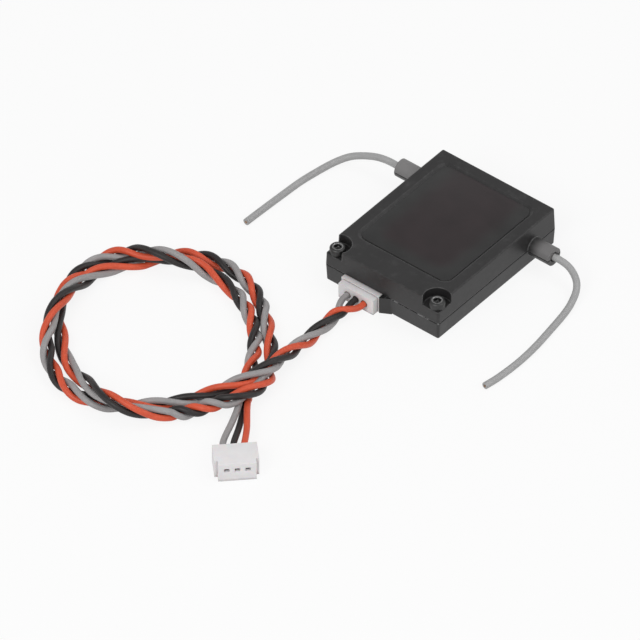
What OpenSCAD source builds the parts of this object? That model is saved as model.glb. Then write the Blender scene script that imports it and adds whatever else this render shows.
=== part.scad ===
// Small two-shell radio receiver for a model car, with two wire antennas
// and a looped three-wire lead. Millimetres, +Z up, standing on its base.
// +X points at the near antenna spout, -Y at the connector and the screws.

/* [Case] */
// Width of the case across the seam
case_w = 20.6; // [19.8:0.1:24]
// Length of the case along the seam
case_l = 26.6; // [25.8:0.1:32]
// Height of the lower shell, from the base to the seam
lower_h = 2.9; // [2.8:0.1:3.6]
// Height of the cover, from the seam to its flat top
cover_h = 3.6; // [3.4:0.1:5]
// Thickness of the side walls
wall = 1; // [0.8:0.1:1.3]
// Thickness of the lower shell's floor
floor_t = 0.8; // [0.6:0.1:1]
// Thickness of the cover's top, outside the recess
top_t = 1.2; // [1:0.1:1.4]
// Radius of the case's upright corners
corner_r = 0.45; // [0.45:0.05:0.9]
// Rounding where the sides meet the top and the base
edge_r = 0.2; // [0.15:0.05:0.25]
// How far each side leans in, from the seam to the top or the base
draft = 0.15; // [0.1:0.05:0.2]
// Height of the locating lip inside the seam
lip_h = 0.5; // [0.3:0.1:0.7]
// Bevel along both shells' outer edges at the seam, which leaves a fine groove
seam_bevel = 0.1; // [0.05:0.01:0.12]

/* [Label recess] */
// Width of the raised border at the sides and back of the cover
border = 1.9; // [1.5:0.1:3]
// Distance from the connector end to the recess
border_front = 4.2; // [4:0.1:6]
// Depth of the recess
recess_d = 0.3; // [0.2:0.05:0.4]
// Corner radius of the recess
recess_r = 1.5; // [0.8:0.1:2]
// Width of the slope from the border down to the recess
recess_slope = 0.4; // [0.2:0.05:0.6]
// Thickness of the bare label film
film_t = 0.1; // [0.05:0.05:0.15]

/* [Screws] */
// Distance of each screw's axis from the two nearest sides of the case
screw_in = 1.3; // [1.3:0.05:1.5]
// Diameter of the screw head
head_d = 2.35; // [2:0.05:2.6]
// Height of the screw head
head_h = 1.1; // [0.8:0.1:1.3]
// Diameter of the screw shank
shank_d = 1.4; // [1.2:0.1:1.6]
// Length of the screw shank below the head
shank_l = 3.9; // [3.2:0.1:4]
// Radius of the open pocket round the screw head
pocket_r = 2.05; // [1.9:0.05:2.3]
// Depth of the pocket below the cover's top
pocket_d = 1.6; // [1.3:0.1:1.8]

/* [Antenna spouts] */
// Outer diameter of the spouts
spout_d = 2.8; // [2.4:0.05:3]
// How far the right spout stands out of the case
spout_right = 3.7; // [2:0.1:6]
// How far the left spout stands out of the case
spout_left = 4.6; // [2:0.1:6]
// Distance of the right spout's axis from the far end of the case
spout_right_in = 5.1; // [4.9:0.05:5.5]
// Distance of the left spout's axis from the far end of the case
spout_left_in = 3.9; // [3.5:0.05:4.5]
// Diameter of the antenna cable
coax_d = 1; // [0.8:0.05:1.2]
// Diameter of the antenna's inner conductor
core_d = 0.4; // [0.3:0.05:0.5]

/* [Circuit board] */
// Thickness of the circuit board
board_t = 0.8; // [0.6:0.1:1]
// Distance from the connector end of the case to the board
board_front = 1.2; // [1.2:0.1:1.3]
// Length of the room for the antenna cables, from the board to the far end of the case
cable_room = 6.8; // [6.6:0.1:7.4]

/* [Connector] */
// Middle of the connector, left of the case's middle
conn_left = 3.3; // [3:0.1:3.5]
// Distance between the three contacts
pitch = 1.5; // [1.3:0.05:1.6]
// Width of the plug's body
plug_w = 6.3; // [6.1:0.1:6.6]
// Width of the plug's nose
nose_w = 5.4; // [5.2:0.1:6]
// Length of the plug over body and nose
plug_l = 4.4; // [4:0.1:5]
// Length of the plug's nose
nose_l = 1; // [0.6:0.1:1.4]
// Height of the plug in the receiver
plug_h = 2.6; // [2.4:0.05:2.6]
// Height of the taller plug at the lead's far end
far_plug_h = 3; // [2.6:0.1:3.4]
// How far the plug stands out of the case
plug_out = 1.7; // [1.2:0.1:2.2]
// Wall of the header round the plug
header_wall = 0.2; // [0.15:0.05:0.25]
// Length of the header inside the case
header_l = 4.3; // [4.1:0.1:5]
// How far the header stands out of the case
header_out = 0.7; // [0.4:0.1:0.9]
// How far the wall beside the connector stands proud
jamb_out = 0.75; // [0.5:0.05:1]
// Width of a contact pin
pin_w = 0.45; // [0.35:0.05:0.5]

/* [Lead] */
// Diameter of the three twisted wires together
lead_d = 2; // [1.6:0.1:2.2]

/* [Hidden] */
$fn = 48;

// Clearances between pieces that are put together
fit = 0.05;
slide = 0.15;
// Overshoot of a cut past the surface that it opens
over = 0.2;

seam_z = lower_h;
case_h = lower_h + cover_h;
half_w = case_w / 2;
half_l = case_l / 2;
inner_w = case_w - 2 * wall;
inner_l = case_l - 2 * wall;
roof_z = case_h - top_t;

screw_x = half_w - screw_in;
screw_y = -half_l + screw_in;
ledge_z = case_h - pocket_d;
boss_r = pocket_r + wall;
lower_boss_r = shank_d / 2 + 1.1;
shank_hole_d = shank_d + 2 * slide;
pilot_d = shank_d + fit;

spout_right_y = half_l - spout_right_in;
spout_left_y = half_l - spout_left_in;
bore_d = coax_d + 2 * fit;
bell_d = bore_d + 0.6;
bell_l = 0.5;
root_end_x = 6.2;
cradle_x = 7.4;
cradle_t = 0.8;
cradle_w = 2.4;

board_z = seam_z;
board_top = board_z + board_t;
board_w = inner_w - 2 * slide;
board_l = case_l - board_front - cable_room;
board_y0 = -half_l + board_front;
board_y1 = board_y0 + board_l;
rest_w = 0.9;
lip_w = wall / 2 - fit;

conn_x = -conn_left;
wire_z = 1.25;
header_w = plug_w + 2 * (fit + header_wall);
header_h = board_z;
opening_w = header_w + 2 * fit;
header_y0 = -half_l - header_out;
header_y1 = -half_l + header_l;
header_back = 0.7;
header_roof = header_h - plug_h - fit;
jamb_w = 1.6;
plug_y = -half_l - plug_out;
slot_w = pin_w + 0.3;
slot_h = pin_w + 0.1;
slot_d = 2.7;
barrel_d = 1.1;
pin_y = header_y1 + 0.35;
pin_reach = slot_d - 0.5;

// The far plug lies on the same surface as the case, turned about +Z
far_plug_at = [3.7, -50.6];
far_wire_z = far_plug_h - 1.05;
far_plug_turn = -135;

// Routes of the free cords, from the case outwards: round numbers, in millimetres
left_route = [[-14.9, 9.4, 2.9], [-17, 9.4, 2.9], [-19, 9.3, 2.6], [-21, 8.8, 2.1], [-22.8, 8, 1.5],
    [-24.1, 6.6, 0.9], [-24.9, 4.5, 0.6], [-25.4, 2, 0.5], [-25.7, -0.5, 0.5], [-25.9, -4.2, 0.5],
    [-26.1, -8.5, 0.5], [-26.2, -11.4, 0.5]];
right_route = [[14, 8.2, 2.9], [15.2, 8.2, 2.9], [16.6, 8.1, 2.7], [17.9, 7.7, 2.3], [19, 7, 1.8],
    [19.8, 5.9, 1.3], [20.4, 4.3, 0.9], [20.9, 2.2, 0.6], [21.5, -1.7, 0.5], [22.1, -6.3, 0.5],
    [22.3, -10.4, 0.5], [22.1, -14.4, 0.5], [21.7, -17.1, 0.5]];
lead_route = [[-3.3, -15, 1.25], [-3.3, -18, 1.25], [-3.3, -21.9, 1.15], [-3.2, -25.8, 1.35],
    [-2.9, -29.8, 2.2], [-2.4, -34.8, 3.2], [-3.1, -38.9, 3.2], [-5, -42, 2.4], [-7.6, -45, 1.2],
    [-10.5, -48.8, 1], [-14.3, -52.4, 1], [-18.2, -54.5, 1], [-22.7, -54.8, 1], [-27, -53.2, 1.1],
    [-30.5, -50.5, 1.6], [-32.4, -47.8, 2.6], [-33.7, -44.7, 3.1], [-34.8, -40.5, 2.7],
    [-35.3, -35.9, 1.6], [-34.5, -31.6, 1], [-29.7, -24.5, 1], [-26.5, -21.9, 1], [-22.5, -20.9, 1],
    [-17.9, -21.5, 1], [-13.4, -23.8, 1], [-6.1, -30.4, 1], [-3.4, -33.9, 1.3], [-1.4, -37.8, 2.4],
    [-1.8, -42, 3], [-3.9, -45.1, 2.3], [-6.6, -48, 1.3], [-9.5, -51.2, 1.4], [-11.9, -53.6, 2.5],
    [-14.7, -54.5, 3.1], [-18.6, -54.1, 2.7], [-23.1, -52.3, 1.6], [-27.5, -49.9, 1], [-34.5, -43.1, 1],
    [-36.6, -38.7, 1], [-37.3, -34.4, 1], [-36.3, -30, 1], [-33.5, -27.6, 1.9], [-30, -26.6, 3],
    [-26.8, -25.3, 2.7], [-23.6, -23.7, 1.4], [-19.2, -24, 1], [-14.6, -25.8, 1], [-10.8, -28.5, 1],
    [-7.8, -32.1, 1], [-5.3, -36.3, 1], [-3.3, -39.5, 1], [-1.3, -42.6, 1.1], [1, -46.3, 1.6],
    [2.9, -49.8, far_wire_z], [3.7, -50.6, far_wire_z]];

// Points of a quarter circle about c, from angle a0 to a1
function arc(c, r, a0, a1, steps = 4) =
    [for (i = [0:steps]) let (a = a0 + (a1 - a0) * i / steps) c + r * [cos(a), sin(a)]];

// Direction of a route at its point i
function heading(route, i) =
    let (n = len(route), d = route[min(i + 1, n - 1)] - route[max(i - 1, 0)]) d / norm(d);

// Ring of eight points square to the route at its point i
function ring(route, i, r) =
    let (t = heading(route, i), s = cross([0, 0, 1], t), u = s / norm(s), v = cross(t, u))
    [for (k = [0:7]) route[i] + r * (cos(k * 45 + 22.5) * u + sin(k * 45 + 22.5) * v)];

// Round cord swept along a route, one ring at each point
module cord(route, d) {
    n = len(route);
    rings = [for (i = [0:n - 1]) each ring(route, i, d / 2)];
    sides = [for (i = [0:n - 2], k = [0:7])
        let (a = i * 8 + k, b = i * 8 + (k + 1) % 8) [a, a + 8, b + 8, b]];
    near = [[for (k = [0:7]) k]];
    far = [[for (k = [7:-1:0]) (n - 1) * 8 + k]];
    polyhedron(rings, concat(near, sides, far), convexity = 6);
}

// Rectangle with round corners, made of true arcs
module rounded_rect(w, l, r) {
    square([w - 2 * r, l], center = true);
    square([w, l - 2 * r], center = true);
    for (x = [-1, 1], y = [-1, 1])
        translate([x * (w / 2 - r), y * (l / 2 - r)]) circle(r);
}

// Corner of a moulded shell: bevelled at the seam, leaning in, round at the end
module corner_post(h) {
    lean_r = corner_r - draft;
    rotate_extrude($fn = 32)
        polygon(concat([[0, 0], [corner_r - seam_bevel, 0], [corner_r, seam_bevel]],
            arc([lean_r - edge_r, h - edge_r], edge_r, 0, 90), [[0, h]]));
}

// Outer form of one half of the case, growing up from the seam
module shell_form(h) {
    hull()
        for (x = [-1, 1], y = [-1, 1])
            translate([x * (half_w - corner_r), y * (half_l - corner_r), 0]) corner_post(h);
}

module cover_form() {
    translate([0, 0, seam_z]) shell_form(cover_h);
}

module lower_form() {
    translate([0, 0, seam_z]) mirror([0, 0, 1]) shell_form(lower_h);
}

// Children at both screws
module at_screws() {
    for (x = [-1, 1]) translate([x * screw_x, screw_y, 0]) children();
}

// One spout as a solid round bar, from inside the wall to its tip
module spout_bar(d, side, out, y, from = half_w - wall) {
    translate([side * from, y, seam_z]) rotate([0, side * 90, 0]) cylinder(d = d, h = half_w + out - from);
}

module both_spouts(d) {
    spout_bar(d, 1, spout_right, spout_right_y);
    spout_bar(d, -1, spout_left, spout_left_y);
}

// Bore and bell mouth of one spout
module spout_bore(side, out, y) {
    translate([side * (half_w - wall - over), y, seam_z]) rotate([0, side * 90, 0]) {
        cylinder(d = bore_d, h = wall + out + 2 * over);
        translate([0, 0, wall + over + out - bell_l])
            cylinder(d1 = bore_d, d2 = bell_d, h = bell_l + 0.01);
    }
}

module both_bores() {
    spout_bore(1, spout_right, spout_right_y);
    spout_bore(-1, spout_left, spout_left_y);
}

// Half of the space, above or below the seam, used to split the spouts
module above_seam() {
    translate([-case_w, -case_l, seam_z]) cube([2 * case_w, 2 * case_l, case_h]);
}

module below_seam() {
    translate([-case_w, -case_l, seam_z - case_h]) cube([2 * case_w, 2 * case_l, case_h]);
}

// Straight strips of the locating lip: two sides and the far end
module lip(extra) {
    side_y0 = screw_y + boss_r + 1;
    side_y1 = min(spout_right_y, spout_left_y) - spout_d;
    for (x = [-1, 1])
        translate([x * (inner_w / 2 + lip_w / 2), (side_y0 + side_y1) / 2, seam_z])
            cube([lip_w + extra, side_y1 - side_y0 + extra, 2 * (lip_h + extra)], center = true);
    translate([0, inner_l / 2 + lip_w / 2, seam_z])
        cube([inner_w - 4 + extra, lip_w + extra, 2 * (lip_h + extra)], center = true);
}

// Space of the label recess, wider at the top by its slope
module recess_form() {
    w = case_w - 2 * border;
    l = case_l - border - border_front;
    translate([0, (border_front - border) / 2, case_h - recess_d])
        hull() {
            linear_extrude(0.01) rounded_rect(w - 2 * recess_slope, l - 2 * recess_slope, recess_r);
            translate([0, 0, recess_d]) linear_extrude(over) rounded_rect(w, l, recess_r);
        }
}

module cover() {
    color("dimgray") difference() {
        union() {
            difference() {
                cover_form();
                translate([0, 0, seam_z - over])
                    linear_extrude(roof_z - seam_z + over) rounded_rect(inner_w, inner_l, corner_r);
            }
            // Bosses round the screw pockets, down to the seam
            intersection() {
                cover_form();
                at_screws() translate([0, 0, seam_z]) cylinder(r = boss_r, h = cover_h);
            }
            intersection() {
                both_spouts(spout_d);
                above_seam();
            }
            // Two ribs that hold the board down
            for (y = [board_y0 + 4.4, board_y1 - 0.6])
                translate([-inner_w / 4, y - 0.3, board_top])
                    cube([inner_w / 2, 0.6, roof_z - board_top + over]);
        }
        recess_form();
        at_screws() {
            translate([0, 0, ledge_z]) cylinder(r = pocket_r, h = pocket_d + over);
            translate([0, 0, seam_z - over]) cylinder(d = shank_hole_d, h = cover_h);
        }
        both_bores();
        lip(fit);
    }
}

module lower_case() {
    color("dimgray") difference() {
        union() {
            difference() {
                lower_form();
                translate([0, 0, floor_t])
                    linear_extrude(lower_h) rounded_rect(inner_w, inner_l, corner_r);
            }
            intersection() {
                lower_form();
                at_screws() cylinder(r = lower_boss_r, h = seam_z);
            }
            intersection() {
                both_spouts(spout_d);
                below_seam();
            }
            // Rests along both sides, under the board
            for (x = [-1, 1])
                translate([x * (inner_w / 2 - rest_w / 2), (board_y0 + board_y1) / 2, seam_z / 2])
                    cube([rest_w, board_l / 2, seam_z], center = true);
            // Cradles that carry the antenna cables behind the board
            for (c = [[1, spout_right_y], [-1, spout_left_y]])
                translate([c[0] * cradle_x - cradle_t / 2, c[1] - cradle_w / 2, floor_t - 0.01])
                    cube([cradle_t, cradle_w, seam_z - floor_t]);
            intersection() {
                lip(0);
                above_seam();
            }
            // Proud wall beside the connector, sloping back to the end of the case
            jamb();
        }
        // Opening for the connector, through wall and floor
        translate([conn_x - opening_w / 2, -half_l - jamb_out - over, -over])
            cube([opening_w, header_l + jamb_out + over + fit, seam_z + 2 * over]);
        at_screws() translate([0, 0, floor_t]) cylinder(d = pilot_d, h = seam_z);
        both_bores();
        // Seats of the cables in their cradles
        for (c = [[1, spout_right_y], [-1, spout_left_y]])
            translate([c[0] * (cradle_x - cradle_t), c[1], seam_z]) rotate([0, c[0] * 90, 0])
                cylinder(d = bore_d, h = 2 * cradle_t);
    }
}

// The wall right of the opening swells out and slopes back into the end face
module jamb() {
    x0 = conn_x + opening_w / 2;
    linear_extrude(seam_z)
        polygon([[x0 - fit, -half_l + wall], [x0 - fit, -half_l - jamb_out], [x0 + 0.1, -half_l - jamb_out],
            [x0 + jamb_w, -half_l + 0.1], [x0 + jamb_w, -half_l + wall]]);
}

module blank_label() {
    label_in = recess_slope + 0.15;
    label_w = case_w - 2 * border - 2 * label_in;
    label_l = case_l - border - border_front - 2 * label_in;
    color("#2c2c2c")
        translate([0, (border_front - border) / 2, case_h - recess_d])
            linear_extrude(film_t) rounded_rect(label_w, label_l, recess_r - 0.2);
}

// Socket cap screw standing on the ledge of its pocket
module cap_screw() {
    socket_d = head_d * 0.5;
    socket_deep = head_h * 0.6;
    difference() {
        union() {
            translate([0, 0, -shank_l]) cylinder(d = shank_d, h = shank_l + 0.01);
            cylinder(d = head_d, h = head_h - 0.2);
            translate([0, 0, head_h - 0.2]) cylinder(d1 = head_d, d2 = head_d - 0.4, h = 0.2);
        }
        translate([0, 0, head_h - socket_deep]) cylinder(d = socket_d, h = socket_deep + over, $fn = 6);
    }
}

module case_screws() {
    color("#1c1c1e") at_screws() translate([0, 0, ledge_z]) cap_screw();
}

module circuit_board() {
    color("darkgreen") difference() {
        translate([-board_w / 2, board_y0, board_z]) cube([board_w, board_l, board_t]);
        // Corners cleared for the screw bosses, sides for the lip
        at_screws() translate([0, 0, board_z - over]) cylinder(r = boss_r + slide, h = board_t + 2 * over);
        for (i = [-1:1])
            translate([conn_x + i * pitch, pin_y, board_z - over])
                cylinder(d = pin_w * 1.7, h = board_t + 2 * over);
    }
}

// Three-sided header that hangs from the board, open below and at the end
module connector_header() {
    plug_room = header_y1 - header_y0 - header_back + over;
    color("white") difference() {
        translate([conn_x - header_w / 2, header_y0, 0.1])
            cube([header_w, header_y1 - header_y0, header_h - 0.1]);
        translate([conn_x - plug_w / 2 - fit, header_y0 - over, -over])
            cube([plug_w + 2 * fit, plug_room, header_h - header_roof + over]);
        // Two windows in the roof, over the plug's catches
        for (i = [-1, 1])
            translate([conn_x + i * pitch - 0.3, -half_l + 0.9, header_h - header_roof - over])
                cube([0.6, 0.9, header_roof + 2 * over]);
        for (i = [-1:1])
            translate([conn_x + i * pitch - pin_w / 2, header_y1 - header_back - over, wire_z - pin_w / 2])
                cube([pin_w, header_back + 2 * over, pin_w]);
    }
}

// Square pins: forward into the plug, back through the header, up through the board
module header_pins() {
    tip_y = plug_y + plug_l - pin_reach;
    color("gold") for (i = [-1:1])
        translate([conn_x + i * pitch - pin_w / 2, 0, 0]) {
            translate([0, tip_y, wire_z - pin_w / 2]) cube([pin_w, pin_y + pin_w / 2 - tip_y, pin_w]);
            translate([0, pin_y - pin_w / 2, wire_z - pin_w / 2])
                cube([pin_w, pin_w, board_top + 0.4 - wire_z + pin_w / 2]);
        }
}

// Places on the board as shares of its half width, from its middle, and of its length, from its front
radio_at = [-0.33, 0.78];
controller_at = [0.4, 0.52];
crystal_at = [0.31, 0.85];
regulator_at = [-0.38, 0.47];
lamp_at = [0.78, 0.74];
capacitors_at = [[-0.82, 0.54], [-0.82, 0.65], [-0.82, 0.76], [-0.82, 0.87], [0, 0.57], [0, 0.43],
    [0.62, 0.82]];
resistors_at = [[-0.66, 0.6], [-0.51, 0.6], [-0.37, 0.6], [0.82, 0.62], [0, 0.7], [0, 0.79]];

// Sizes of the parts on the board
radio_w = 4;
controller_w = 4.4;
dot_d = 0.4;
dot_deep = 0.05;
dot_in = 0.5;
chip_lift = 0.1;
small_w = 0.6;
small_l = 1.1;
coil_d = 0.6;
coil_l = 0.7;
coil_x = 0.66;
coil_in = 1.2;

// Children on the board's top at one of the places
module on_board(place) {
    translate([place[0] * board_w / 2, board_y0 + place[1] * board_l, board_top]) children();
}

// Flat block standing on the board or just over it, with its middle at [x, y]
module block(w, l, h, x = 0, y = 0, lift = 0) {
    translate([x - w / 2, y - l / 2, lift]) cube([w, l, h]);
}

// Square chip with a moulded dot at one corner of its top
module square_chip(w, h, lift) {
    dot_x = w / 2 - dot_in;
    difference() {
        block(w, w, h, lift = lift);
        translate([-dot_x, dot_x, lift + h - dot_deep]) cylinder(d = dot_d, h = dot_deep + over);
    }
}

module radio_chip() {
    color("#202022") on_board(radio_at) square_chip(radio_w, 0.8, 0);
}

module controller_chip() {
    color("#242426") on_board(controller_at) square_chip(controller_w, 0.9, chip_lift);
}

// Gull legs of the controller, five on each side
module chip_legs() {
    leg_w = 0.3;
    leg_out = 0.6;
    leg_t = 0.12;
    leg_pitch = controller_w / 5.5;
    color("silver") on_board(controller_at)
        for (a = [0, 90, 180, 270], i = [-2:2])
            rotate([0, 0, a]) translate([controller_w / 2, i * leg_pitch - leg_w / 2, 0]) {
                cube([leg_out, leg_w, leg_t]);
                cube([leg_t, leg_w, 0.5]);
            }
}

module crystal_can() {
    can_w = 2.9;
    can_l = 2.2;
    rim = 0.15;
    color("gainsboro") on_board(crystal_at) {
        linear_extrude(0.2) rounded_rect(can_w + 2 * rim, can_l + 2 * rim, 0.3);
        linear_extrude(0.7) rounded_rect(can_w, can_l, 0.4);
    }
}

// Block with two tabs in front and one behind, each bent down to the board
module voltage_regulator() {
    body_w = 2.9;
    body_l = 1.4;
    tab_w = 0.4;
    tab_out = 0.5;
    color("#262628") on_board(regulator_at) {
        block(body_w, body_l, 0.95, lift = chip_lift);
        for (t = [[-1, -1], [1, -1], [0, 1]]) {
            tab_x = t[0] * body_w / 3;
            block(tab_w, tab_out + 0.1, 0.15, tab_x, t[1] * (body_l + tab_out - 0.1) / 2);
            block(tab_w, 0.3, 0.4, tab_x, t[1] * (body_l - 0.2) / 2);
        }
    }
}

module status_lamp() {
    lamp_w = 1.6;
    lens_w = 1;
    color("ivory") on_board(lamp_at) {
        block(lamp_w, lamp_w / 2, 0.35);
        block(lens_w, lens_w * 0.7, 0.65);
    }
}

// Small two-ended parts in rows
module ceramic_capacitors() {
    color("tan") for (p = capacitors_at) on_board(p) block(small_w, small_l, small_w);
}

module chip_resistors() {
    color("#303030") for (p = resistors_at) on_board(p) block(small_w, small_l, small_w * 2 / 3);
}

// One small coil beside each antenna's pad
module antenna_coils() {
    color("#3a4a5c") for (side = [-1, 1])
        on_board([side * coil_x, 1 - coil_in / board_l]) {
            block(2 * coil_d, coil_d, 0.25);
            translate([-coil_l / 2, 0, 0.05 + coil_d / 2]) rotate([0, 90, 0])
                cylinder(d = coil_d, h = coil_l);
        }
}

// Stretch of each antenna cable inside the case, as far as its spout's tip
module antenna_roots() {
    color("gray") {
        spout_bar(coax_d, 1, spout_right, spout_right_y, root_end_x);
        spout_bar(coax_d, -1, spout_left, spout_left_y, root_end_x);
    }
}

// Bare inner conductors, from each cable's end to the underside of the board
module antenna_cores() {
    reach = 0.8;
    core_x = root_end_x - core_d / 2;
    color("peru")
        for (c = [[1, spout_right_y], [-1, spout_left_y]])
            translate([c[0] * core_x, board_y1 - reach, board_z - core_d / 2]) rotate([-90, 0, 0])
                cylinder(d = core_d, h = c[1] + core_d / 2 - board_y1 + reach);
}

module antenna_left() {
    color("darkgray") cord(left_route, coax_d);
}

module antenna_right() {
    color("darkgray") cord(right_route, coax_d);
}

module lead() {
    color("tomato") cord(lead_route, lead_d);
}

// Crimp plug: rear face on the X axis, nose towards +Y, contacts at height z
module plug_body(h, z) {
    difference() {
        union() {
            translate([-plug_w / 2, 0, 0]) cube([plug_w, plug_l - nose_l, h]);
            translate([-nose_w / 2, 0, 0]) cube([nose_w, plug_l, h]);
        }
        for (i = [-1:1]) translate([i * pitch, 0, z]) {
            translate([-slot_w / 2, plug_l - slot_d, -slot_h / 2]) cube([slot_w, slot_d + over, slot_h]);
            translate([0, -over, 0]) rotate([-90, 0, 0]) cylinder(d = barrel_d, h = plug_l - slot_d + over);
        }
    }
}

// Crimped barrels that fill the plug's rear, each with a tongue under its pin
module plug_contacts(z) {
    tongue_t = (slot_h - pin_w) / 2;
    for (i = [-1:1]) translate([i * pitch, 0, z]) {
        rotate([-90, 0, 0]) cylinder(d = barrel_d, h = plug_l - slot_d);
        translate([-pin_w / 2, plug_l - slot_d - 0.05, -slot_h / 2]) cube([pin_w, slot_d - 0.4, tongue_t]);
    }
}

module at_receiver_plug() {
    translate([conn_x, plug_y, 0]) children();
}

module at_far_plug() {
    translate([far_plug_at[0], far_plug_at[1], 0]) rotate([0, 0, far_plug_turn]) children();
}

module receiver_plug() {
    color("whitesmoke") at_receiver_plug() plug_body(plug_h, wire_z);
}

module receiver_contacts() {
    color("khaki") at_receiver_plug() plug_contacts(wire_z);
}

module far_plug() {
    color("whitesmoke") at_far_plug() plug_body(far_plug_h, far_wire_z);
}

module far_contacts() {
    color("khaki") at_far_plug() plug_contacts(far_wire_z);
}

lower_case();
cover();
blank_label();
case_screws();
circuit_board();
connector_header();
header_pins();
radio_chip();
controller_chip();
chip_legs();
crystal_can();
voltage_regulator();
status_lamp();
ceramic_capacitors();
chip_resistors();
antenna_coils();
antenna_roots();
antenna_cores();
antenna_left();
antenna_right();
receiver_plug();
receiver_contacts();
lead();
far_plug();
far_contacts();
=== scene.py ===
# %% [markdown]
# # A small radio receiver with two antennas and a twisted lead
#
# The object is a flat two-shell plastic case, about 20 by 26 mm, that carries two thin
# antenna cables and a lead of three wires with a white plug on its end. The engineering
# model comes first: it is loaded as a fixed frame, and every size in this lesson is in
# metres in that same frame.

import math

import bmesh
import bpy
import numpy as np
from mathutils import Matrix, Vector


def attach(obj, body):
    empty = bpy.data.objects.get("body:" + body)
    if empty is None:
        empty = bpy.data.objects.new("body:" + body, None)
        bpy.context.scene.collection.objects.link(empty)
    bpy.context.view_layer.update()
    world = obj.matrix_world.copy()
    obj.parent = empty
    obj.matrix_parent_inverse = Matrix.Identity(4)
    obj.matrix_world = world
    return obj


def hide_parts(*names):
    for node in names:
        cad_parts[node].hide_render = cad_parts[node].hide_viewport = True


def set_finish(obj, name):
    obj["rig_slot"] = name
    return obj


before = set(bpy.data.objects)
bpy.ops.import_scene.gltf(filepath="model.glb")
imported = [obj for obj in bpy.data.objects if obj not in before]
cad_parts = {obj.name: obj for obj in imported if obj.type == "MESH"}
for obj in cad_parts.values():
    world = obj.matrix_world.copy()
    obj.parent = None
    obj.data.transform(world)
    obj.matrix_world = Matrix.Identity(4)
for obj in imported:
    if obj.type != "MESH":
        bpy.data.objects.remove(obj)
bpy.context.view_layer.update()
MM = 0.001

# %% [markdown]
# ## The camera
#
# The photo was taken from far away with a long lens, so parallel edges stay parallel.
# A camera 2.5 m off does the same. Its direction was found from the corners of the case:
# 39 degrees to the right of the connector side and 42 degrees above the table. The lens
# follows from the width of the view, 90.2 mm of table across the whole picture.

# %% Camera
VIEW_AZIMUTH = math.radians(39.06)
VIEW_ELEVATION = math.radians(41.96)
VIEW_CENTRE = Vector((-5.34, -20.48, 0)) * MM
VIEW_WIDTH = 90.22 * MM
CAMERA_DISTANCE = 2.5
SENSOR_WIDTH = 36  # millimetres
CLIP_NEAR, CLIP_FAR = 0.1, 20

towards_camera = Vector((
    math.sin(VIEW_AZIMUTH) * math.cos(VIEW_ELEVATION),
    -math.cos(VIEW_AZIMUTH) * math.cos(VIEW_ELEVATION),
    math.sin(VIEW_ELEVATION),
))
camera_data = bpy.data.cameras.new("camera")
camera_data.sensor_width = SENSOR_WIDTH
camera_data.lens = SENSOR_WIDTH * CAMERA_DISTANCE / VIEW_WIDTH
camera_data.clip_start, camera_data.clip_end = CLIP_NEAR, CLIP_FAR
camera = bpy.data.objects.new("camera", camera_data)
camera.location = VIEW_CENTRE + towards_camera * CAMERA_DISTANCE
camera.rotation_mode = "QUATERNION"
camera.rotation_quaternion = (-towards_camera).to_track_quat("-Z", "Y")
bpy.context.scene.collection.objects.link(camera)
bpy.context.scene.camera = camera
print("lens of", round(camera_data.lens), "mm at", CAMERA_DISTANCE, "m")

# %% [markdown]
# ## Smooth lines for the cords
#
# A cable can't bend sharply, so a few stations that it passes are enough, with a smooth
# curve through them. The same stations carry the solid cords of the engineering model.
# A Catmull-Rom curve goes through every station, and points one even step apart on it
# make the later twist regular.

# %% Smooth line through stations
FINE_STEPS = 16


def smooth_line(stations, step):
    """Even points on a smooth curve through the stations, which are in millimetres."""
    p = np.array(stations, float) * MM
    p = np.vstack([2 * p[0] - p[1], p, 2 * p[-1] - p[-2]])
    fine = []
    for a, b, c, d in zip(p, p[1:], p[2:], p[3:]):
        for t in np.linspace(0, 1, FINE_STEPS, endpoint=False):
            fine.append(b + t * ((c - a) + t * ((2 * a - 5 * b + 4 * c - d)
                        + t * (3 * b - a - 3 * c + d))) / 2)
    fine = np.array(fine + [p[-2]])
    along = distance_along(fine)
    even = np.linspace(0, along[-1], round(along[-1] / step) + 1)
    return np.stack([np.interp(even, along, fine[:, axis]) for axis in range(3)], axis=1)


def distance_along(line):
    """Distance of each point of a line from its start."""
    steps = np.linalg.norm(np.diff(line, axis=0), axis=1)
    return np.concatenate([[0], np.cumsum(steps)])


# %% [markdown]
# ## Round cables as curves
#
# A cable is a circle moved along a line, which is just what a curve object with a bevel
# depth is. It stays light, it can be measured, and its ends are closed with flat caps,
# like a cable cut square with pliers. The depth is 1 and each point carries the cable's
# radius, because the box of a curve is grown by the radius of its points.

# %% Cable from a line
BEVEL_RESOLUTION = 6


def cable(name, line, diameter):
    """Curve object of one open spline, as thick as the cable."""
    data = bpy.data.curves.new(name, "CURVE")
    data.dimensions = "3D"
    data.bevel_depth = 1
    data.bevel_resolution = BEVEL_RESOLUTION
    data.use_fill_caps = True
    spline = data.splines.new("POLY")
    spline.points.add(len(line) - 1)
    for point, place in zip(spline.points, line):
        point.co = (*place, 1)
        point.radius = diameter / 2
    spline.use_smooth = True
    made = bpy.data.objects.new(name, data)
    bpy.context.scene.collection.objects.link(made)
    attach(made, "root")
    return made


# %% [markdown]
# ## The antennas
#
# Each antenna is a grey coaxial cable, 1 mm thick, that leaves its spout level, sags to
# the table and lies there in a gentle curve. About 30 mm of each is free. The stations
# repeat the routes of the engineering model.

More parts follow.
